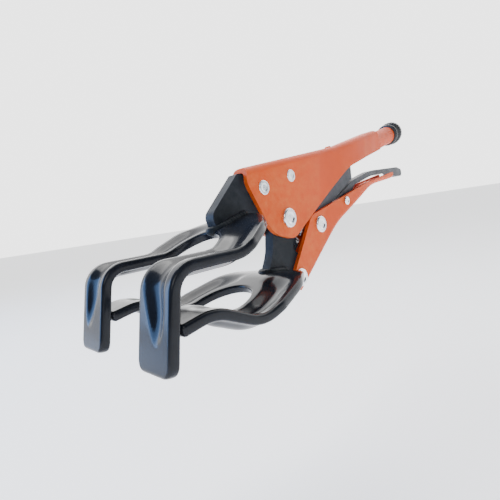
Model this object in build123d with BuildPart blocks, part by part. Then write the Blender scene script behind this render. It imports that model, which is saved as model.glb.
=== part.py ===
from build123d import *
import os
from math import atan2, cos, degrees, hypot, radians, sin

os.makedirs("parts", exist_ok=True)

# Locking pliers with two U-shaped jaws, at rest: locked shut and standing on the tips of the
# upper jaw and the front end of the lower handle.
# Side-view positions below are (x, z) pairs in the tool's own frame: x runs back from the front
# of the jaws to the knob, and z runs up along the upper jaw's legs. The tool leans by rest_tilt.

# ---- driving dimensions (mm, degrees) ----
rest_tilt = 12.15
frame_shift = (-143.92, 0.95)        # puts the frame's origin under the middle of the tool

plate_half = 3.0                     # half thickness of the jaw plates and the toggle link
side_gap = 0.1                       # gap between a plate and the handle wall beside it
sheet = 2.4                          # handle sheet
fold_half = plate_half + side_gap + sheet   # half width of a handle where it grips the plates

strap = 4.5                          # thickness of both forks
fork_inner = 15.5                    # half width of the space between the prongs
fork_outer = 36.0                    # half width over the prongs
weld_leg = 2.6

front_rivet_at = (76.0, 79.0)
rear_rivet_at = (99.0, 90.0)
jaw_pivot_at = (97.0, 65.0)
handle_pivot_at = (108.0, 31.0)
link_pivot_at = (129.0, 64.5)
lever_pivot_at = (160.0, 84.0)
screw_tip_at = (170.5, 120.1)        # end of the toggle link's seat, on the screw's axis
tube_end_at = (242.5, 155.5)

pivot_pin = 4.0                      # shank radius of the jaw and link pivot rivets
handle_pin = 3.0                     # shank radius of the handle pivot rivet
jaw_pin = 3.0                        # shank radius of the two upper jaw rivets
lever_pin = 1.8                      # shank radius of the lever rivet
running_fit = 0.05

upper_rear_half = 8.0                # half width of the upper handle where the hand holds it
lower_rear_half = 7.3
tube_radius = 7.4
screw_radius = 4.0
screw_gap = 2.0                      # from the toggle link's seat to the screw's tip

# ---- frames ----
along = (cos(radians(rest_tilt)), 0, -sin(radians(rest_tilt)))
upward = (sin(radians(rest_tilt)), 0, cos(radians(rest_tilt)))
origin = (frame_shift[0], 0, frame_shift[1])
side = Plane(origin=origin, x_dir=along, z_dir=(0, -1, 0))
plan = Plane(origin=origin, x_dir=along, z_dir=upward)


def polar(point, angle, distance):
    """The point at a distance from another, along an angle in the side view."""
    return (point[0] + distance * cos(radians(angle)), point[1] + distance * sin(radians(angle)))


def place(point, y=0.0):
    """A side-view point at a depth y, in the model's frame."""
    return side.from_local_coords(Vector(point[0], point[1], -y))


def across(point, y=0.0):
    """A plane facing the near side, centred on a side-view point at a depth y."""
    return Plane(origin=place(point, y), x_dir=along, z_dir=(0, -1, 0))


screw_angle = degrees(atan2(tube_end_at[1] - screw_tip_at[1], tube_end_at[0] - screw_tip_at[0]))
screw_length = hypot(tube_end_at[0] - screw_tip_at[0], tube_end_at[1] - screw_tip_at[1])
screw_direction = place(polar((0, 0), screw_angle, 1.0)) - place((0, 0))


def square_to_screw(distance):
    """A plane square to the screw, at a distance behind the toggle link's seat."""
    at = polar(screw_tip_at, screw_angle, distance)
    return Plane(origin=place(at), x_dir=(0, 1, 0), z_dir=screw_direction)


# ---- forks: a bent strap as wide as the jaw, cut to a horseshoe ----
upper_strap = [(2.25, 0), (2.25, 34.9), (32.6, 41.4), (47.8, 53.1), (67.0, 62.9)]
upper_strap_radii = [9.5, 18, 25]
upper_back = 66.0
upper_throat = 45.5
prong_start = 5.0
prong_corner = 1.5
lower_strap = [(prong_start, 14.65), (19, 19.9), (44, 14.2), (80, 31.8), (100, 33.2)]
lower_strap_radii = [22, 22, 40]
lower_back = 98.0
lower_throat = 66.0
tip_corner = 4.5

with BuildPart() as upper_fork:
    with BuildSketch(plan):
        with BuildLine():
            Polyline((upper_back, -5.5), (upper_back, 5.5))
            Spline(
                (upper_back, 5.5), (63.6, 13), (58.6, 22), (49.3, 31), (38, fork_outer),
                tangents=[(-0.2, 1), (-1, 0)],
            )
            Polyline((38, fork_outer), (-1, fork_outer), (-1, fork_inner), (31, fork_inner))
            ThreePointArc((31, fork_inner), (upper_throat, 0), (31, -fork_inner))
            Polyline((31, -fork_inner), (-1, -fork_inner), (-1, -fork_outer), (38, -fork_outer))
            Spline(
                (38, -fork_outer), (49.3, -31), (58.6, -22), (63.6, -13), (upper_back, -5.5),
                tangents=[(1, 0), (0.2, 1)],
            )
        make_face()
    extrude(amount=80)
    with BuildSketch(side):
        with BuildLine() as upper_centre:
            FilletPolyline(*upper_strap, radius=upper_strap_radii)
        trace(upper_centre.line, line_width=strap)
    extrude(amount=fork_outer + 1, both=True, mode=Mode.INTERSECT)
    tips = upper_fork.edges().filter_by(Axis(place((0, 0)), along)).group_by(SortBy.LENGTH)[0]
    fillet([edge for edge in tips if plan.to_local_coords(edge.center()).Z < 1], radius=tip_corner)
upper_fork.part.label = "upper_fork"
export_step(upper_fork.part, "parts/upper_fork.step")

with BuildPart() as lower_fork:
    with BuildSketch(plan):
        with BuildLine():
            Polyline((lower_back, -8), (lower_back, 8))
            Spline(
                (lower_back, 8), (90.5, 20), (80.5, 27.3), (72.6, 31.8), (56, fork_outer),
                tangents=[(-0.1, 1), (-1, 0)],
            )
            Polyline((56, fork_outer), (prong_start, fork_outer))
            Polyline((prong_start, fork_outer), (prong_start, fork_inner), (50.5, fork_inner))
            ThreePointArc((50.5, fork_inner), (lower_throat, 0), (50.5, -fork_inner))
            Polyline((50.5, -fork_inner), (prong_start, -fork_inner), (prong_start, -fork_outer))
            Polyline((prong_start, -fork_outer), (56, -fork_outer))
            Spline(
                (56, -fork_outer), (72.6, -31.8), (80.5, -27.3), (90.5, -20), (lower_back, -8),
                tangents=[(1, 0), (0.1, 1)],
            )
        make_face()
    extrude(amount=60)
    with BuildSketch(side):
        with BuildLine() as lower_centre:
            FilletPolyline(*lower_strap, radius=lower_strap_radii)
        trace(lower_centre.line, line_width=strap)
    extrude(amount=fork_outer + 1, both=True, mode=Mode.INTERSECT)
    prong_ends = lower_fork.edges().filter_by(Axis(place((0, 0)), upward), tolerance=25)
    fillet([edge for edge in prong_ends if plan.to_local_coords(edge.center()).X < 8], radius=prong_corner)
lower_fork.part.label = "lower_fork"
export_step(lower_fork.part, "parts/lower_fork.step")


# ---- jaw plates, welded on edge to the forks ----
neck_clear = 12.2                    # radius cleared in the upper plate round the jaw pivot
neck_eye = 11.0
spring_lug_half = 1.2
lower_spring_at = (108.6, 50.6)      # where the return spring hooks on to the lower jaw
upper_spring_at = (147.5, 112.0)     # and on to the tab under the upper handle's fold
spring_hole = 1.3

with BuildPart() as upper_jaw_plate:
    with BuildSketch(side):
        with BuildLine():
            FilletPolyline(
                (46.5, 53.2), (42.6, 60.5), (58.5, 83.6), (64.5, 83.6), (105.5, 99.4), (108, 84),
                (97, 72), (84, 61.8), (66, 62), radius=[5, 1.5, 1.5, 4, 4, 1, 2], close=False,
            )
            Line((66, 62), (46.5, 53.2))
        make_face()
        with Locations(jaw_pivot_at):
            Circle(neck_clear, mode=Mode.SUBTRACT)
        with Locations(front_rivet_at, rear_rivet_at):
            Circle(jaw_pin, mode=Mode.SUBTRACT)
    extrude(amount=plate_half, both=True)
    add(upper_fork.part, mode=Mode.SUBTRACT)
upper_jaw_plate.part.label = "upper_jaw_plate"
export_step(upper_jaw_plate.part, "parts/upper_jaw_plate.step")

with BuildPart() as lower_jaw_plate:
    with BuildSketch(side):
        with BuildLine():
            FilletPolyline(
                (82, 32), (86, 44), (86, 60), (94, 60), (106.5, 62), (108, 56), (111.9, 51.8), (107.6, 45),
                (113.0, 34), (110.4, 27.1), (104.4, 27.2), (99.5, 31.5),
                radius=[20, 1, 2, 2, 2, 2.2, 5, 4.5, 3, 4], close=False,
            )
            Line((99.5, 31.5), (82, 32))
        make_face()
        with Locations(jaw_pivot_at):
            Circle(neck_eye)
            Circle(pivot_pin + running_fit, mode=Mode.SUBTRACT)
        with Locations(handle_pivot_at):
            Circle(handle_pin + running_fit, mode=Mode.SUBTRACT)
        with Locations(lower_spring_at):
            Circle(spring_hole, mode=Mode.SUBTRACT)
    extrude(amount=plate_half, both=True)
    for face in (-1, 1):
        with BuildSketch(across(lower_spring_at, face * spring_lug_half)):
            Circle(5.0)
        extrude(amount=-face * 5, mode=Mode.SUBTRACT)
    add(lower_fork.part, mode=Mode.SUBTRACT)
lower_jaw_plate.part.label = "lower_jaw_plate"
export_step(lower_jaw_plate.part, "parts/lower_jaw_plate.step")


def weld(start, end, seat, plate, fork):
    """A bead of weld in each corner between a plate and a fork, along a side-view line."""
    run = hypot(end[0] - start[0], end[1] - start[1])
    ahead = place(end) - place(start)
    corner = Plane(origin=place(start), x_dir=(0, 1, 0), z_dir=ahead)
    with BuildPart() as bead:
        for face in (-1, 1):
            with BuildSketch(corner):
                with BuildLine():
                    Polyline(
                        (face * plate_half, -seat), (face * (plate_half + weld_leg), -seat),
                        (face * (plate_half + weld_leg), 0),
                    )
                    ThreePointArc(
                        (face * (plate_half + weld_leg), 0), (face * (plate_half + 1.2), 1.2),
                        (face * plate_half, weld_leg),
                    )
                    Line((face * plate_half, weld_leg), (face * plate_half, -seat))
                make_face()
            extrude(amount=run)
        add(plate, mode=Mode.SUBTRACT)
        add(fork, mode=Mode.SUBTRACT)
    return bead.part


upper_jaw_weld = weld((47.5, 55.4), (62.5, 63.1), 1.5, upper_jaw_plate.part, upper_fork.part)
upper_jaw_weld.label = "upper_jaw_weld"
export_step(upper_jaw_weld, "parts/upper_jaw_weld.step")

lower_jaw_weld = weld((83.5, 34.6), (96.5, 35.3), 1.5, lower_jaw_plate.part, lower_fork.part)
lower_jaw_weld.label = "lower_jaw_weld"
export_step(lower_jaw_weld, "parts/lower_jaw_weld.step")


# ---- handles: folded sheet channels ----
def width_outline(start, flare_from, flare_to, end, front_half, rear_half):
    """A channel's outline from above: narrow in front, flaring smoothly to the rear."""
    with BuildSketch(plan) as outline:
        with BuildLine():
            Polyline((flare_from, front_half), (start, front_half))
            Polyline((start, front_half), (start, -front_half), (flare_from, -front_half))
            Spline((flare_from, -front_half), (flare_to, -rear_half), tangents=[(1, 0), (1, 0)])
            Polyline((flare_to, -rear_half), (end, -rear_half), (end, rear_half), (flare_to, rear_half))
            Spline((flare_to, rear_half), (flare_from, front_half), tangents=[(-1, 0), (-1, 0)])
        make_face()
    return outline.sketch


def distance_to_path(point, path):
    """The least distance in the side view from a point to a run of straight lines."""
    distances = []
    for start, end in zip(path, path[1:]):
        run = (end[0] - start[0], end[1] - start[1])
        share = ((point.X - start[0]) * run[0] + (point.Y - start[1]) * run[1]) / (run[0] ** 2 + run[1] ** 2)
        share = min(1, max(0, share))
        distances.append(hypot(point.X - start[0] - share * run[0], point.Y - start[1] - share * run[1]))
    return min(distances)


def folded_block(fold, bend_radii, far_corners, widths, fold_radius):
    """A block with rounded edges along a fold line, as wide as a channel, open past its ends."""
    with BuildPart() as block:
        with BuildSketch(side):
            with BuildLine():
                FilletPolyline(*fold, radius=bend_radii)
                Polyline(fold[-1], *far_corners, fold[0])
            make_face()
        extrude(amount=30, both=True)
        extrude(widths, amount=300, both=True, mode=Mode.INTERSECT)
        edges = [
            edge for edge in block.edges()
            if abs(edge.center().Y) > 2 and edge.length > 3
            and distance_to_path(side.to_local_coords(edge.center()), fold) < 1.2
        ]
        fillet(edges, radius=fold_radius)
    return block.part


upper_crown = [(63, 87.6), (150, 121.3), (207.4, 149)]
upper_belly = [(214.2, 134.5), (190, 122.6), (163, 108.5), (102.5, 53.2), (83.5, 54.6), (63, 79.5)]
upper_outline = upper_crown + upper_belly
upper_radii = [1.5, 200, 4, 2, 60, 60, 11, 16, 9]
upper_outer = folded_block(
    [(40, 78.7), (150, 121.3), (225, 157.5)], [200], [(225, 20), (40, 20)],
    width_outline(30, 128, 186, 240, fold_half, upper_rear_half), 4.2,
)
upper_inner = folded_block(
    [(30, 72.2), (150.2, 118.7), (205.5, 145.4)], [200], [(216, 124), (216, 20), (30, 20)],
    width_outline(20, 128, 186, 240, fold_half - sheet, upper_rear_half - sheet), 2.0,
)

with BuildPart() as upper_handle:
    with BuildSketch(side):
        with BuildLine():
            FilletPolyline(*upper_outline, radius=upper_radii, close=True)
        make_face()
    extrude(amount=30, both=True)
    add(upper_outer, mode=Mode.INTERSECT)
    add(upper_inner, mode=Mode.SUBTRACT)
    with BuildSketch(side):
        with BuildLine():
            FilletPolyline(
                (142.5, 116.8), (145.0, 109.4), (150.0, 109.4), (151.5, 120.4),
                radius=[2.2, 2.2], close=False,
            )
            Line((151.5, 120.4), (142.5, 116.8))
        make_face()
        with Locations(upper_spring_at):
            Circle(spring_hole, mode=Mode.SUBTRACT)
    extrude(amount=spring_lug_half, both=True)
    with BuildSketch(across((147.6, 119.6))):
        Circle(1.7)
    extrude(amount=1.6, both=True)
    with BuildSketch(square_to_screw(42.5)):
        Circle(tube_radius)
    extrude(amount=screw_length - 42.5)
    with BuildSketch(square_to_screw(39)):
        Circle(5.3)
    extrude(amount=22, mode=Mode.SUBTRACT)
    with BuildSketch(square_to_screw(60)):
        Circle(screw_radius)
    extrude(amount=30, mode=Mode.SUBTRACT)
    for rivet_at, pin in ((front_rivet_at, jaw_pin), (rear_rivet_at, jaw_pin), (jaw_pivot_at, pivot_pin)):
        with BuildSketch(across(rivet_at)):
            Circle(pin)
        extrude(amount=20, both=True, mode=Mode.SUBTRACT)
upper_handle.part.label = "upper_handle"
export_step(upper_handle.part, "parts/upper_handle.step")

lower_outline = [
    (99.5, 26.8), (119.3, 68.8), (188, 101.5), (238.5, 120.7),
    (239.5, 115.8), (201, 103), (152, 68), (110.6, 22.3),
]
lower_radii = [5, 9, 150, 0.8, 3, 70, 90, 5]
lower_outer = folded_block(
    [(96.6, 6.9), (152, 68), (201, 103), (254.9, 120.9)], [90, 70], [(250, 160), (60, 100)],
    width_outline(40, 134, 184, 280, fold_half, lower_rear_half), 3.6,
)
lower_inner = folded_block(
    [(90.7, 3.9), (150.4, 69.8), (199.9, 105.15), (260.2, 125.2)], [92, 72], [(255, 170), (60, 100)],
    width_outline(30, 134, 184, 280, fold_half - sheet, lower_rear_half - sheet), 1.6,
)

with BuildPart() as lower_handle:
    with BuildSketch(side):
        with BuildLine():
            FilletPolyline(*lower_outline, radius=lower_radii, close=True)
        make_face()
    extrude(amount=30, both=True)
    add(lower_outer, mode=Mode.INTERSECT)
    add(lower_inner, mode=Mode.SUBTRACT)
    lower_pins = ((handle_pivot_at, handle_pin), (link_pivot_at, pivot_pin), (lever_pivot_at, lever_pin))
    for rivet_at, pin in lower_pins:
        with BuildSketch(across(rivet_at)):
            Circle(pin)
        extrude(amount=20, both=True, mode=Mode.SUBTRACT)
lower_handle.part.label = "lower_handle"
export_step(lower_handle.part, "parts/lower_handle.step")


# ---- toggle link and release lever ----
link_eye = 6.2
seat_top = polar(screw_tip_at, screw_angle + 90, 3.5)
seat_bottom = polar(screw_tip_at, screw_angle - 90, 4.6)

with BuildPart() as toggle_link:
    with BuildSketch(side):
        with BuildLine():
            FilletPolyline(
                link_pivot_at, polar(link_pivot_at, 145, link_eye), (161.5, 121.0), seat_top, seat_bottom,
                (174.5, 103), (139.5, 76.6), polar(link_pivot_at, -12, link_eye),
                radius=[0.3, 0.3, 3, 1.2, 1.2, 1.5, 8, 0.3], close=True,
            )
        make_face()
        with Locations(link_pivot_at):
            Circle(link_eye)
            Circle(pivot_pin + running_fit, mode=Mode.SUBTRACT)
    extrude(amount=plate_half, both=True)
toggle_link.part.label = "toggle_link"
export_step(toggle_link.part, "parts/toggle_link.step")

lever_half = 3.2
with BuildPart() as release_lever:
    with BuildSketch(side):
        with BuildLine():
            FilletPolyline(
                (148.2, 81.2), (176, 102.4), (205, 115.6), (256, 129.4), (267.2, 129.6), (267, 123.4),
                (247, 119.6), (240.5, 121.4), (205, 111.2), (178, 99.2), (166, 83),
                (161.5, 78.9), (150.5, 76.2),
                radius=[1.5, 14, 60, 12, 2.9, 3.2, 1.5, 2, 60, 10, 6, 4.2, 1.5], close=True,
            )
        make_face()
        with Locations(lever_pivot_at):
            Circle(lever_pin + running_fit, mode=Mode.SUBTRACT)
    extrude(amount=lever_half, both=True)
release_lever.part.label = "release_lever"
export_step(release_lever.part, "parts/release_lever.step")


# ---- adjusting screw, knob and return spring ----
knob_gap = 0.8
knob_length = 14.0
thread_crest = screw_radius - running_fit
knob_start = screw_length + knob_gap
screw_in_knob = 9.0

with BuildPart() as adjusting_screw:
    with BuildSketch(square_to_screw(screw_gap)):
        Circle(thread_crest)
    extrude(amount=knob_start + screw_in_knob - screw_gap)
    chamfer(adjusting_screw.edges().filter_by(GeomType.CIRCLE), length=0.7)
adjusting_screw.part.label = "adjusting_screw"
export_step(adjusting_screw.part, "parts/adjusting_screw.step")

with BuildPart() as screw_knob:
    knob_seat = square_to_screw(knob_start).origin
    with BuildSketch(Plane(origin=knob_seat, x_dir=screw_direction, z_dir=(0, -1, 0))):
        with BuildLine():
            FilletPolyline(
                (0, screw_radius), (0, 9.0), (3.4, 9.6), (4.2, 7.2), (6.4, 7.2), (7.2, 9.9), (12.6, 9.9),
                (knob_length, 8.2), (knob_length, 0), radius=[0.9, 1.0, 0.7, 0.7, 1.0, 1.4, 1.2], close=False,
            )
            Polyline((knob_length, 0), (screw_in_knob, 0), (screw_in_knob, screw_radius), (0, screw_radius))
        make_face()
    revolve(axis=Axis(square_to_screw(knob_start).origin, screw_direction))
screw_knob.part.label = "screw_knob"
export_step(screw_knob.part, "parts/screw_knob.step")

wire = 0.5
hook_radius = 2.6
coil_radius = 2.6
coil_start = 8.0
spring_run = (upper_spring_at[0] - lower_spring_at[0], upper_spring_at[1] - lower_spring_at[1])
spring_length = hypot(*spring_run)
spring_angle = degrees(atan2(spring_run[1], spring_run[0]))
spring_direction = place(polar((0, 0), spring_angle, 1.0)) - place((0, 0))


def on_spring(distance):
    """A plane square to the spring, at a distance from its lower hook."""
    at = polar(lower_spring_at, spring_angle, distance)
    return Plane(origin=place(at), x_dir=(0, 1, 0), z_dir=spring_direction)


with BuildPart() as return_spring:
    with BuildSketch(on_spring(coil_start)):
        Circle(coil_radius)
    extrude(amount=spring_length - 2 * coil_start)
    for hook_centre, coil_side in ((hook_radius, 1), (spring_length - hook_radius, -1)):
        ring = on_spring(hook_centre)
        with BuildSketch(ring):
            with Locations((hook_radius, 0)):
                Circle(wire)
        revolve(axis=Axis(ring.origin, ring.y_dir))
        with BuildSketch(on_spring(hook_centre + coil_side * hook_radius)):
            Circle(0.8 * wire)
        extrude(amount=coil_side * (coil_start - 2 * hook_radius + 0.5))
return_spring.part.label = "return_spring"
export_step(return_spring.part, "parts/return_spring.step")


# ---- rivets ----
def rivet(point, shank, head, rise, half, dimple):
    """A rivet across the tool: a shank with a low round head, dished in the middle, at each end."""
    centre = place(point)
    with BuildPart() as body:
        with BuildSketch(Plane(origin=centre, x_dir=along, z_dir=upward)):
            with BuildLine():
                for face in (-1, 1):
                    outer = face * (half + rise)
                    dished = outer - face * dimple
                    rounded = outer - face * 0.8 * rise
                    Polyline((0, 0), (0, dished), (0.42 * head, dished))
                    Polyline((0.42 * head, dished), (0.6 * head, outer), (0.84 * head, outer))
                    ThreePointArc((0.84 * head, outer), (0.96 * head, outer - face * 0.3 * rise), (head, rounded))
                    Polyline((head, rounded), (head, face * half), (shank, face * half), (shank, 0))
            make_face()
        revolve(axis=Axis(centre, (0, 1, 0)))
    return body.part


rivets = {
    "front_jaw_rivet": rivet(front_rivet_at, jaw_pin, 4.0, 0.5, fold_half, 0.15),
    "rear_jaw_rivet": rivet(rear_rivet_at, jaw_pin, 3.6, 0.5, fold_half, 0.15),
    "jaw_pivot_rivet": rivet(jaw_pivot_at, pivot_pin, 5.7, 1.6, fold_half, 0.5),
    "handle_pivot_rivet": rivet(handle_pivot_at, handle_pin, 5.3, 1.5, fold_half, 0.5),
    "link_pivot_rivet": rivet(link_pivot_at, pivot_pin, 5.3, 1.5, fold_half, 0.5),
    "lever_pivot_rivet": rivet(lever_pivot_at, lever_pin, 2.9, 1.1, 6.6, 0.3),
}
for name, body in rivets.items():
    body.label = name
    export_step(body, "parts/" + name + ".step")
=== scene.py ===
from math import cos, pi, radians, sin, sqrt, tan

import bmesh
import bpy
from mathutils import Matrix, Vector, noise


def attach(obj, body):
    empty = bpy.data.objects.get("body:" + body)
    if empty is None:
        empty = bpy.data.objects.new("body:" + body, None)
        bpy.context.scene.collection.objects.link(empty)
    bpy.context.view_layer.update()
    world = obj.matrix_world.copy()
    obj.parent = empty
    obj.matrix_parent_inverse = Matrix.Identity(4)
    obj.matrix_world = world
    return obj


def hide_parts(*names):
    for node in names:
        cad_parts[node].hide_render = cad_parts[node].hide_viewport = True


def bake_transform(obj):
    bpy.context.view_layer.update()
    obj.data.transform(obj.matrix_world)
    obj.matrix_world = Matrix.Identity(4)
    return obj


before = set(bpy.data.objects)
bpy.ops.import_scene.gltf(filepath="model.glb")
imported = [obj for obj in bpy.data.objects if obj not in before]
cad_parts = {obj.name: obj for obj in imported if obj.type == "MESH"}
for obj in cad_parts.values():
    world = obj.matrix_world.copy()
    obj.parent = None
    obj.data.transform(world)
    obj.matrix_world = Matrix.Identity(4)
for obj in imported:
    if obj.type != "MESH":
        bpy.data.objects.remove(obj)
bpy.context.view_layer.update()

# The tool's own frame, as the CAD has it: x back from the jaws, z up along the upper jaw's legs,
# in millimetres. The tool leans by REST_TILT in the shared frame.
MM = 0.001
REST_TILT = radians(12.15)
TOOL_ORIGIN = (-0.14392, 0, 0.00095)
TOOL = Matrix.Translation(TOOL_ORIGIN) @ Matrix.Rotation(REST_TILT, 4, "Y") @ Matrix.Scale(MM, 4)

# Points are (x, z) in the middle plane of the tool.
SCREW_TIP = (170.5, 120.1)
TUBE_END = (242.5, 155.5)
UPPER_SPRING = (147.5, 112.0)
LOWER_SPRING = (108.6, 50.6)

# Both forks: the strap's thickness, and how far each prong's edges are from the middle.
STRAP = 4.5
FORK_INNER = 15.5
FORK_OUTER = 36.0
STRAP_EDGE = 1.35
TIP_RUN = 4.5


def tool(x, y, z):
    """A point of the tool's own frame, in the shared frame."""
    return TOOL @ Vector((x, y, z))


# ---- mesh helpers ----
def mesh_object(name, vertices, faces, smooth=True):
    """An object of these vertices and faces, its normals facing out."""
    mesh = bpy.data.meshes.new(name)
    mesh.from_pydata([tuple(v) for v in vertices], [], faces)
    mesh.validate()
    work = bmesh.new()
    work.from_mesh(mesh)
    bmesh.ops.recalc_face_normals(work, faces=work.faces)
    work.to_mesh(mesh)
    work.free()
    for polygon in mesh.polygons:
        polygon.use_smooth = smooth
    piece = bpy.data.objects.new(name, mesh)
    bpy.context.scene.collection.objects.link(piece)
    return piece


def finish_piece(piece, material, body, replaced):
    """A piece with its material, on its body, in place of a CAD node."""
    piece.data.materials.append(material)
    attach(piece, body)
    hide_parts(replaced)


def ring_faces(rings, size):
    """Faces of a closed tube of rings with the same number of vertices each."""
    faces = []
    for ring in range(rings - 1):
        for k in range(size):
            a, b = ring * size + k, ring * size + (k + 1) % size
            faces.append((a, b, b + size, a + size))
    faces.append(tuple(range(size - 1, -1, -1)))
    faces.append(tuple((rings - 1) * size + k for k in range(size)))
    return faces


def smoothstep(low, high, value):
    """0 below low, 1 above high, and an even curve between."""
    t = min(1.0, max(0.0, (value - low) / (high - low)))
    return t * t * (3 - 2 * t)


def rounded_path(corners, radii, step=1.0):
    """Points along a run of straight lines whose inner corners are rounded."""
    corners = [Vector(c) for c in corners]
    path = [corners[0]]
    for before, corner, after, radius in zip(corners, corners[1:], corners[2:], radii):
        into, out = (corner - before).normalized(), (after - corner).normalized()
        turn = into.angle_signed(out)
        reach = radius * tan(abs(turn) / 2)
        count = max(3, int(abs(turn) * radius / step))
        side = 1 if turn > 0 else -1
        normal = Vector((into.y, -into.x)) * side
        centre = corner - into * reach + normal * radius
        spoke = -normal
        for k in range(count + 1):
            angle = -side * abs(turn) * k / count
            turned_x = spoke.x * cos(angle) - spoke.y * sin(angle)
            turned_y = spoke.x * sin(angle) + spoke.y * cos(angle)
            path.append(centre + radius * Vector((turned_x, turned_y)))
    path.append(corners[-1])
    dense = [path[0]]
    for a, b in zip(path, path[1:]):
        count = max(1, int((b - a).length / step))
        dense += [a.lerp(b, (k + 1) / count) for k in range(count)]
    return dense


class Strap:
    """The middle line of a bent strap in the side view, followed by its own length."""

    def __init__(self, corners, radii):
        self.points = rounded_path(corners, radii)
        self.at = [0.0]
        for a, b in zip(self.points, self.points[1:]):
            self.at.append(self.at[-1] + (b - a).length)

    def spot(self, s):
        """The point at a length s, and the direction out of the strap's upper face there."""
        s = min(max(s, 0.0), self.at[-1])
        k = 0
        while k < len(self.at) - 2 and self.at[k + 1] < s:
            k += 1
        share = (s - self.at[k]) / (self.at[k + 1] - self.at[k])
        point = self.points[k].lerp(self.points[k + 1], share)
        ahead = self.points[min(k + 2, len(self.points) - 1)] - self.points[max(k - 1, 0)]
        return point, Vector((-ahead.y, ahead.x)).normalized()

    def length_at(self, x):
        """The length at which the strap reaches x, past any upright leg."""
        for k in range(len(self.points) - 1, 0, -1):
            if self.points[k - 1].x <= x:
                low, high = self.points[k - 1], self.points[k]
                share = min(1.0, max(0.0, (x - low.x) / max(high.x - low.x, 1e-9)))
                return self.at[k - 1] + share * (self.at[k] - self.at[k - 1])
        return 0.0


def curve_through(points, per_span=8):
    """A smooth curve through points (Catmull-Rom)."""
    points = [Vector(p) for p in points]
    ends = [points[0] * 2 - points[1]] + points + [points[-1] * 2 - points[-2]]
    out = []
    for a, b, c, d in zip(ends, ends[1:], ends[2:], ends[3:]):
        for k in range(per_span):
            t = k / per_span
            out.append(0.5 * (2 * b + (c - a) * t + (2 * a - 5 * b + 4 * c - d) * t * t
                              + (3 * b - a - 3 * c + d) * t ** 3))
    out.append(points[-1])
    return out


def even(points, count):
    """Points spaced evenly along a run of lines."""
    at = [0.0]
    for a, b in zip(points, points[1:]):
        at.append(at[-1] + (b - a).length)
    out, k = [], 0
    for i in range(count + 1):
        want = at[-1] * i / count
        while k < len(at) - 2 and at[k + 1] < want:
            k += 1
        out.append(points[k].lerp(points[k + 1], (want - at[k]) / (at[k + 1] - at[k])))
    return out


# ---- materials ----
# How sharp an outer edge is where its paint starts to wear, and where it is worn most.
WEAR_FROM, WEAR_TO = 0.56, 0.68


def new_material(name, **values):
    """A node material whose plain values are set on the shader itself."""
    material = bpy.data.materials.new(name)
    material.use_nodes = True
    shader = material.node_tree.nodes["Principled BSDF"]
    for key, value in values.items():
        shader.inputs[key.replace("_", " ")].default_value = value
    return material, material.node_tree, shader


def noise_node(tree, scale, detail, roughness):
    """Noise fixed to the piece, with scale features to the metre."""
    place = tree.nodes.new("ShaderNodeTexCoord")
    texture = tree.nodes.new("ShaderNodeTexNoise")
    texture.inputs["Scale"].default_value = scale
    texture.inputs["Detail"].default_value = detail
    texture.inputs["Roughness"].default_value = roughness
    tree.links.new(place.outputs["Object"], texture.inputs["Vector"])
    return texture


def ramp(tree, source, stops):
    """Colours along a value."""
    node = tree.nodes.new("ShaderNodeValToRGB")
    while len(node.color_ramp.elements) < len(stops):
        node.color_ramp.elements.new(0.5)
    for element, (at, colour) in zip(node.color_ramp.elements, stops):
        element.position = at
        element.color = (*colour, 1)
    tree.links.new(source, node.inputs["Fac"])
    return node


def spread(tree, source, low, high):
    """A texture's middle range stretched over two values."""
    node = tree.nodes.new("ShaderNodeMapRange")
    node.inputs["From Min"].default_value = 0.3
    node.inputs["From Max"].default_value = 0.7
    node.inputs["To Min"].default_value = low
    node.inputs["To Max"].default_value = high
    tree.links.new(source, node.inputs["Value"])
    return node.outputs["Result"]


def bump(tree, shader, source, strength, distance):
    """Fine relief, distance metres deep."""
    node = tree.nodes.new("ShaderNodeBump")
    node.inputs["Strength"].default_value = strength
    node.inputs["Distance"].default_value = distance
    tree.links.new(source, node.inputs["Height"])
    tree.links.new(node.outputs["Normal"], shader.inputs["Normal"])


def edge_mask(tree):
    """White on worn outer edges, broken up by fine noise."""
    geometry = tree.nodes.new("ShaderNodeNewGeometry")
    worn = tree.nodes.new("ShaderNodeMapRange")
    worn.inputs["From Min"].default_value = WEAR_FROM
    worn.inputs["From Max"].default_value = WEAR_TO
    tree.links.new(geometry.outputs["Pointiness"], worn.inputs["Value"])
    patches = noise_node(tree, 260, 5, 0.65)
    both = tree.nodes.new("ShaderNodeMath")
    both.operation = "MULTIPLY"
    tree.links.new(worn.outputs["Result"], both.inputs[0])
    tree.links.new(spread(tree, patches.outputs["Fac"], 0.0, 1.0), both.inputs[1])
    return both.outputs["Value"]


def mix_colour(tree, mask, first, second):
    """The first colour, a texture's, turning to the second, a plain one, where the mask is white."""
    colour_a, colour_b, colour_out = 6, 7, 2
    node = tree.nodes.new("ShaderNodeMix")
    node.data_type = "RGBA"
    tree.links.new(mask, node.inputs["Factor"])
    tree.links.new(first, node.inputs[colour_a])
    node.inputs[colour_b].default_value = (*second, 1)
    return node.outputs[colour_out]


def paint(name, dark, light, worn, rough, grain, grain_depth, **values):
    """Paint over steel: mottled colour, an uneven gloss, a fine skin, and wear on the edges."""
    material, tree, shader = new_material(name, **values)
    clouds = noise_node(tree, 55, 4, 0.6)
    colour = ramp(tree, clouds.outputs["Fac"], [(0.3, dark), (0.7, light)])
    mask = edge_mask(tree)
    tree.links.new(mix_colour(tree, mask, colour.outputs["Color"], worn), shader.inputs["Base Color"])
    sheen = noise_node(tree, 130, 5, 0.6)
    tree.links.new(spread(tree, sheen.outputs["Fac"], *rough), shader.inputs["Roughness"])
    skin = noise_node(tree, grain, 2, 0.5)
    bump(tree, shader, skin.outputs["Fac"], 0.5, grain_depth)
    return material


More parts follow.
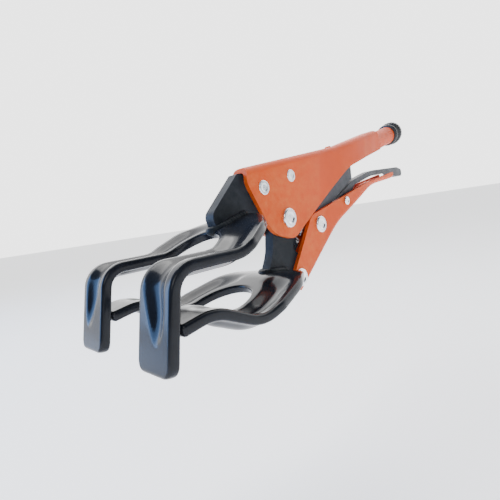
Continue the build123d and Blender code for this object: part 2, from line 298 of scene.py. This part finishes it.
def bare_metal(name, dark, light, rough, scratch, depth):
    """Plated or bare steel: uneven colour and gloss, with fine scratches."""
    material, tree, shader = new_material(name, Metallic=1.0)
    clouds = noise_node(tree, 240, 5, 0.65)
    colour = ramp(tree, clouds.outputs["Fac"], [(0.32, dark), (0.68, light)])
    tree.links.new(colour.outputs["Color"], shader.inputs["Base Color"])
    sheen = noise_node(tree, 420, 4, 0.6)
    tree.links.new(spread(tree, sheen.outputs["Fac"], *rough), shader.inputs["Roughness"])
    marks = noise_node(tree, scratch, 6, 0.7)
    bump(tree, shader, marks.outputs["Fac"], 0.35, depth)
    return material


gloss_black = paint(
    "gloss_black", (0.006, 0.007, 0.010), (0.012, 0.014, 0.019), (0.03, 0.034, 0.042), (0.13, 0.23),
    420, 0.00004, Specular_IOR_Level=0.19,
)
plate_black = paint(
    "plate_black", (0.010, 0.013, 0.017), (0.019, 0.024, 0.030), (0.045, 0.05, 0.06), (0.36, 0.50),
    700, 0.00005, Specular_IOR_Level=0.1,
)
dark_steel = paint(
    "dark_steel", (0.016, 0.020, 0.028), (0.032, 0.040, 0.052), (0.14, 0.15, 0.17), (0.32, 0.46),
    600, 0.00004, Specular_IOR_Level=0.16,
)
orange = paint(
    "orange_paint", (0.62, 0.066, 0.006), (0.69, 0.080, 0.008), (0.74, 0.20, 0.05), (0.36, 0.48),
    520, 0.00005, Specular_IOR_Level=0.15,
)
knob_black = paint(
    "knob_black", (0.010, 0.011, 0.013), (0.022, 0.023, 0.026), (0.10, 0.10, 0.11), (0.34, 0.5),
    800, 0.00006, Specular_IOR_Level=0.5,
)
zinc = bare_metal("rivet_zinc", (0.80, 0.83, 0.86), (0.95, 0.97, 0.98), (0.18, 0.32), 1500, 0.00004)
screw_steel = bare_metal(
    "screw_steel", (0.30, 0.30, 0.31), (0.50, 0.50, 0.51), (0.3, 0.45), 1200, 0.00004)
spring_steel = bare_metal(
    "spring_steel", (0.34, 0.35, 0.37), (0.55, 0.56, 0.58), (0.24, 0.36), 1500, 0.00003)


# ---- forks: a pressed strap with a groove along each prong ----
def fork(name, strap, inner, outer, groove, tip_corner):
    """A horseshoe of bent strap. inner and outer are one side's outlines in (length, y)."""
    edge = STRAP_EDGE
    across, around = 26, 6
    half_ring = [(inner[k], outer[k]) for k in range(len(inner))]
    stations = [((a.x, -a.y), (b.x, -b.y)) for a, b in half_ring]
    stations += [((a.x, a.y), (b.x, b.y)) for a, b in reversed(half_ring[:-1])]
    vertices = []
    for inside, outside in stations:
        a, b = Vector(inside), Vector(outside)
        end = min(a.x, b.x)
        half = STRAP / 2
        if end < edge:
            half = STRAP / 2 - edge + sqrt(edge * edge - (edge - end) ** 2)
        if end < tip_corner:
            inset = tip_corner - sqrt(tip_corner ** 2 - (tip_corner - end) ** 2)
            shift = (b - a).normalized() * inset
            a, b = a + shift, b - shift
        width = (b - a).length
        soft = min(edge, half * 0.98)
        top = []
        for k in range(around):
            angle = (k + 0.5) / around * pi / 2
            top.append((soft * (1 - cos(angle)), half - soft + soft * sin(angle)))
        for k in range(across + 1):
            top.append((soft + (width - 2 * soft) * k / across, half))
        top += [(width - d, h) for d, h in reversed(top[:around])]
        ring = top + [(d, -h) for d, h in reversed(top)]
        for d, h in ring:
            flat = a + (b - a) * (d / width)
            point, out = strap.spot(flat.x)
            lift = h - groove(flat.x, abs(flat.y), d / width)
            at = point + out * lift
            vertices.append(tool(at.x, flat.y, at.y))
    size = 2 * (across + 1 + 2 * around)
    return mesh_object(name, vertices, ring_faces(len(stations), size))


UPPER_DIP, LOWER_DIP = 2.5, 2.8
UPPER_TIP_CORNER, LOWER_TIP_CORNER = 4.5, 1.5
UPPER_STRAP = Strap([(2.25, 0), (2.25, 34.9), (32.6, 41.4), (47.8, 53.1), (67.0, 62.9)], [9.5, 18, 25])
LOWER_STRAP = Strap([(5.0, 14.65), (19, 19.9), (44, 14.2), (80, 31.8), (100, 33.2)], [22, 22, 40])


def outlines(strap, throat_from, throat_to, back, back_half, shoulder):
    """Both edges of one prong and its half of the heel, as (length along the strap, y)."""
    straight_end = strap.length_at(throat_from)
    steps = [0.0, 0.15, 0.4, 0.8, 1.3, 2.0, 2.8, 3.6, TIP_RUN]
    count = int((straight_end - TIP_RUN) / 1.4)
    steps += [TIP_RUN + (straight_end - TIP_RUN) * (k + 1) / count for k in range(count)]
    inner = [Vector((s, FORK_INNER)) for s in steps]
    outer = [Vector((s, FORK_OUTER)) for s in steps]
    fan = 46
    radius = throat_to - throat_from
    throat = []
    for k in range(fan + 1):
        angle = k / fan * pi / 2
        throat.append(Vector((throat_from + radius * sin(angle), FORK_INNER * cos(angle))))
    curve = curve_through(shoulder + [(back, back_half)])
    rim = even([Vector((throat_from, FORK_OUTER))] + curve + [Vector((back, 0))], fan)
    for a, b in zip(throat[1:], rim[1:]):
        inner.append(Vector((strap.length_at(a.x), a.y)))
        outer.append(Vector((strap.length_at(b.x), b.y)))
    return inner, outer


def dish(s, share, start, reach, centre, half_width):
    """The share of a dip's full depth. The dip narrows to nothing over reach, before start."""
    u = (share - centre) / half_width
    v = max(0.0, start - s) / reach
    r = u * u + v ** 3
    return (1 - r) ** 1.5 if r < 1 else 0.0


def upper_groove(s, y, share):
    """The dip along the upper prongs: a teardrop on the leg, wide over the prong."""
    high = smoothstep(10, 34, s)
    centre = 0.62 - 0.15 * high
    half_width = 0.22 + 0.13 * high
    on = (1 - smoothstep(80, 94, s)) * smoothstep(3.5, 9, y)
    return UPPER_DIP * on * dish(s, share, 27, 17, centre, half_width)


def lower_groove(s, y, share):
    """The dip along the lower prongs, closed before the neck's foot."""
    on = (1 - smoothstep(66, 80, s)) * smoothstep(7, 14, y)
    return LOWER_DIP * on * dish(s, share, 24, 12, 0.5, 0.34)


upper_inner, upper_outer = outlines(
    UPPER_STRAP, 31, 45.5, 66, 5.5, [(38, 36), (49.3, 31), (58.6, 22), (63.6, 13)])
upper_fork = fork("upper_fork_pressed", UPPER_STRAP, upper_inner, upper_outer, upper_groove,
                  UPPER_TIP_CORNER)
finish_piece(upper_fork, gloss_black, "upper_jaw", "upper_fork")

lower_inner, lower_outer = outlines(
    LOWER_STRAP, 50.5, 66, 98, 8, [(56, 36), (72.6, 31.8), (80.5, 27.3), (90.5, 20)])
lower_fork = fork("lower_fork_pressed", LOWER_STRAP, lower_inner, lower_outer, lower_groove,
                  LOWER_TIP_CORNER)
finish_piece(lower_fork, gloss_black, "lower_jaw", "lower_fork")


# ---- CAD pieces: softened edges and their own finish ----
def dress(node, material, soften=0.0):
    """A CAD piece with its finish, and its sharp edges softened."""
    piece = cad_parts[node]
    for slot in piece.material_slots:
        slot.material = material
    if not piece.material_slots:
        piece.data.materials.append(material)
    if soften:
        bevel = piece.modifiers.new("softened_edges", "BEVEL")
        bevel.width = soften
        bevel.segments = 3
        bevel.limit_method = "ANGLE"
        bevel.angle_limit = radians(35)
        bevel.harden_normals = False


dress("upper_handle", orange, 0.0005)
dress("lower_handle", orange, 0.0005)
dress("upper_jaw_plate", plate_black, 0.0008)
dress("lower_jaw_plate", plate_black, 0.0008)
dress("toggle_link", dark_steel, 0.0004)
dress("release_lever", dark_steel, 0.0008)
for rivet in ("front_jaw", "rear_jaw", "jaw_pivot", "handle_pivot", "link_pivot", "lever_pivot"):
    dress(rivet + "_rivet", zinc)


# ---- wire, thread, knob and welds ----
def tube(name, points, radii, sides=8):
    """A round tube along points, with a radius at each."""
    points = [Vector(p) for p in points]
    side = (points[1] - points[0]).orthogonal().normalized()
    vertices = []
    for k, point in enumerate(points):
        ahead = (points[min(k + 1, len(points) - 1)] - points[max(k - 1, 0)]).normalized()
        side = (side - ahead * side.dot(ahead)).normalized()
        other = ahead.cross(side)
        for m in range(sides):
            angle = 2 * pi * m / sides
            vertices.append(tool(*(point + radii[k] * (cos(angle) * side + sin(angle) * other))))
    return mesh_object(name, vertices, ring_faces(len(points), sides))


SCREW_RUN = Vector((TUBE_END[0] - SCREW_TIP[0], 0, TUBE_END[1] - SCREW_TIP[1]))
SCREW_LENGTH = SCREW_RUN.length
SCREW_AHEAD = SCREW_RUN.normalized()
SCREW_UP = Vector((-SCREW_AHEAD.z, 0, SCREW_AHEAD.x))


def turned(name, profile, sides, ripple):
    """A shape turned about the screw's axis, with a ripple on its radius.

    profile holds (distance behind the screw's tip, radius)."""
    start = Vector((SCREW_TIP[0], 0, SCREW_TIP[1]))
    vertices = []
    for distance, radius in profile:
        for m in range(sides):
            angle = 2 * pi * m / sides
            spoke = cos(angle) * SCREW_UP + sin(angle) * Vector((0, 1, 0))
            point = start + SCREW_AHEAD * distance + ripple(distance, radius, angle) * spoke
            vertices.append(tool(*point))
    return mesh_object(name, vertices, ring_faces(len(profile), sides))


def threaded_screw():
    """The adjusting screw, threaded from its tip into the knob."""
    pitch, crest, root = 1.25, 3.95, 3.25
    first, last = 2.0, SCREW_LENGTH + 9.8
    count = int((last - first) / pitch * 6)

    def thread(distance, radius, angle):
        phase = (distance / pitch - angle / (2 * pi)) % 1.0
        return radius + (crest - root) * min(1.0, 1.6 * (1 - abs(2 * phase - 1)))

    profile = [(first, 2.0)]
    profile += [(first + (last - first) * k / count, root) for k in range(count + 1)]
    profile += [(last, 2.0)]
    return turned("threaded_screw", profile, 32, thread)


def knob():
    """Two fluted discs on a short barrel, round-edged."""
    start = SCREW_LENGTH + 0.8
    flute_count, flute_depth = 26, 0.2
    profile = [
        (0.0, 4.05), (0.0, 8.2), (0.25, 8.75), (0.8, 9.1), (2.2, 9.35), (3.0, 9.25), (3.5, 8.7), (3.9, 7.7),
        (4.5, 7.25), (6.0, 7.2), (6.6, 7.6), (7.0, 8.7), (7.5, 9.55), (8.3, 9.85), (10.2, 9.9), (11.8, 9.75),
        (12.8, 9.2), (13.6, 8.2), (14.0, 6.8), (14.0, 5.4), (13.7, 4.9), (13.7, 0.4),
    ]

    def flutes(distance, radius, angle):
        local = distance - start
        if radius < 8.5 or local > 13:
            return radius
        return radius - flute_depth * (0.5 - 0.5 * cos(flute_count * angle)) ** 2

    return turned("adjusting_knob", [(start + d, r) for d, r in profile], 6 * flute_count, flutes)


def spring():
    """A close-wound spring with a loop at each end."""
    low = Vector((LOWER_SPRING[0], 0, LOWER_SPRING[1]))
    high = Vector((UPPER_SPRING[0], 0, UPPER_SPRING[1]))
    run = (high - low).length
    ahead = (high - low).normalized()
    aside, across = Vector((0, 1, 0)), Vector((-ahead.z, 0, ahead.x))
    wire, loop, coil, start = 0.48, 2.3, 2.1, 8.0
    turns = int((run - 2 * start) / (2.15 * wire))
    path = []
    for k in range(18):
        angle = -pi / 2 + 2 * pi * k / 20
        path.append(low + ahead * (loop + loop * sin(angle)) + aside * loop * cos(angle))
    for k in range(turns * 14 + 1):
        angle = 2 * pi * k / 14
        along = start + (run - 2 * start) * k / (turns * 14)
        path.append(low + ahead * along + coil * (cos(angle) * aside + sin(angle) * across))
    for k in range(18):
        angle = -pi / 2 + 2 * pi * (k + 1) / 20
        path.append(high - ahead * (loop - loop * sin(angle)) + aside * loop * cos(angle))
    return tube("wound_spring", path, [wire] * len(path))


def weld_bead(name, corners, radius, seed):
    """A rippled, slightly lumpy bead of weld round the foot of a plate."""
    path = even(curve_through(corners), 150)
    radii = []
    for k, point in enumerate(path):
        lump = noise.noise(point * 0.45 + Vector((seed, 0, 0)))
        ends = smoothstep(-1, 8, min(k, len(path) - 1 - k))
        radii.append(radius * (0.4 + 0.6 * ends) * (1 + 0.10 * lump + 0.07 * abs(sin(k * 0.62))))
    return tube(name, path, radii, 14)


finish_piece(threaded_screw(), screw_steel, "screw", "adjusting_screw")
finish_piece(knob(), knob_black, "knob", "screw_knob")
wound = spring()
wound.data.materials.append(spring_steel)
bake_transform(wound)
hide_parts("return_spring")
upper_foot = [
    (66, -3.3, 64.6), (55, -3.3, 58.8), (47.5, -3.2, 54.9), (44.2, 0, 53.2),
    (47.5, 3.2, 54.9), (55, 3.3, 58.8), (66, 3.3, 64.6),
]
upper_weld = weld_bead("upper_weld_bead", upper_foot, 2.0, 3.0)
finish_piece(upper_weld, plate_black, "upper_jaw", "upper_jaw_weld")
lower_foot = [
    (98, -3.3, 35.2), (90, -3.3, 34.9), (83.6, -3.2, 33.9), (81.2, 0, 33.4),
    (83.6, 3.2, 33.9), (90, 3.3, 34.9), (98, 3.3, 35.2),
]
lower_weld = weld_bead("lower_weld_bead", lower_foot, 1.9, 9.0)
finish_piece(lower_weld, plate_black, "lower_jaw", "lower_jaw_weld")


# ---- floor, light and camera ----
WORLD_STRENGTH = 3.2
NEAR_SHADE = (0.02, 0.024, 0.03)
FRONT_SHADE = (0.06, 0.076, 0.105)
FLOOR_DROP = 0.105
FLOOR_GLOW = 0.55
VIEW_EYE = (-59.6, -130.5, 34.0)
VIEW_TURN = radians(45)
VIEW_PITCH = radians(3.6)


def floor():
    """The studio floor lies below the reach of the open handle and jaw."""
    material, tree, shader = new_material("floor_white", Roughness=0.9, Specular_IOR_Level=0.1)
    clouds = noise_node(tree, 3, 3, 0.5)
    colour = ramp(tree, clouds.outputs["Fac"], [(0.3, (0.90, 0.90, 0.905)), (0.7, (0.93, 0.93, 0.93))])
    tree.links.new(colour.outputs["Color"], shader.inputs["Base Color"])
    shader.inputs["Emission Color"].default_value = (1.0, 1.0, 1.0, 1.0)
    shader.inputs["Emission Strength"].default_value = FLOOR_GLOW
    size, low = 40.0, -FLOOR_DROP
    corners = [(-size, -size, low), (size, -size, low), (size, size, low), (-size, size, low)]
    plane = mesh_object("studio_floor", corners, [(0, 1, 2, 3)], smooth=False)
    plane.data.materials.append(material)


def panel(name, place, target, size, power, colour):
    """A soft rectangular light facing a point."""
    light = bpy.data.lights.new(name, "AREA")
    light.shape = "RECTANGLE"
    light.size, light.size_y = size
    light.energy = power
    light.color = colour
    lamp = bpy.data.objects.new(name, light)
    lamp.location = place
    lamp.rotation_euler = (Vector(place) - Vector(target)).to_track_quat("Z", "Y").to_euler()
    bpy.context.scene.collection.objects.link(lamp)


def studio():
    """White behind the tool, dim in front of it and on the near side, with soft panels."""
    world = bpy.data.worlds.new("studio")
    world.use_nodes = True
    tree = world.node_tree
    background = tree.nodes["Background"]
    place = tree.nodes.new("ShaderNodeTexCoord")
    split = tree.nodes.new("ShaderNodeSeparateXYZ")
    tree.links.new(place.outputs["Generated"], split.inputs["Vector"])
    depth = tree.nodes.new("ShaderNodeMath")
    depth.operation = "ADD"
    tree.links.new(split.outputs["X"], depth.inputs[0])
    tree.links.new(split.outputs["Y"], depth.inputs[1])
    span = tree.nodes.new("ShaderNodeMapRange")
    span.inputs["From Min"].default_value = -1.0
    span.inputs["From Max"].default_value = 1.0
    tree.links.new(depth.outputs["Value"], span.inputs["Value"])
    shades = ramp(tree, span.outputs["Result"],
                  [(0.2, NEAR_SHADE), (0.5, FRONT_SHADE), (0.74, (1.0, 1.0, 1.0))])
    tree.links.new(shades.outputs["Color"], background.inputs["Color"])
    background.inputs["Strength"].default_value = WORLD_STRENGTH
    bpy.context.scene.world = world
    middle = (-0.02, 0, 0.05)
    panel("top", (0.0, 0.25, 0.9), middle, (0.8, 0.5), 9, (1.0, 0.99, 0.97))
    panel("front", (-1.0, 0.75, 0.35), (-0.12, 0, 0.03), (0.9, 0.8), 20, (0.24, 0.48, 1.0))
    panel("near", (-0.7, -0.9, 0.6), middle, (0.6, 0.5), 4, (1.0, 0.97, 0.93))


def camera():
    """The eye is about 110 mm off the near leg, level with the legs, and looks across the tool."""
    eye = tool(*VIEW_EYE)
    turn, pitch = VIEW_TURN, VIEW_PITCH
    ahead = Vector((cos(turn) * cos(pitch), sin(turn) * cos(pitch), sin(pitch)))
    above = Vector((-cos(turn) * sin(pitch), -sin(turn) * sin(pitch), cos(pitch)))
    lean = Matrix.Rotation(REST_TILT, 3, "Y")
    ahead, above = lean @ ahead, lean @ above
    aside = ahead.cross(above)
    facing = Matrix((aside, above, -ahead)).transposed()
    data = bpy.data.cameras.new("view")
    data.sensor_width = 36.0
    data.lens = 25.2
    data.clip_start = 0.005
    viewer = bpy.data.objects.new("view", data)
    viewer.matrix_world = Matrix.Translation(eye) @ facing.to_4x4()
    bpy.context.scene.collection.objects.link(viewer)
    bpy.context.scene.camera = viewer


floor()
studio()
camera()
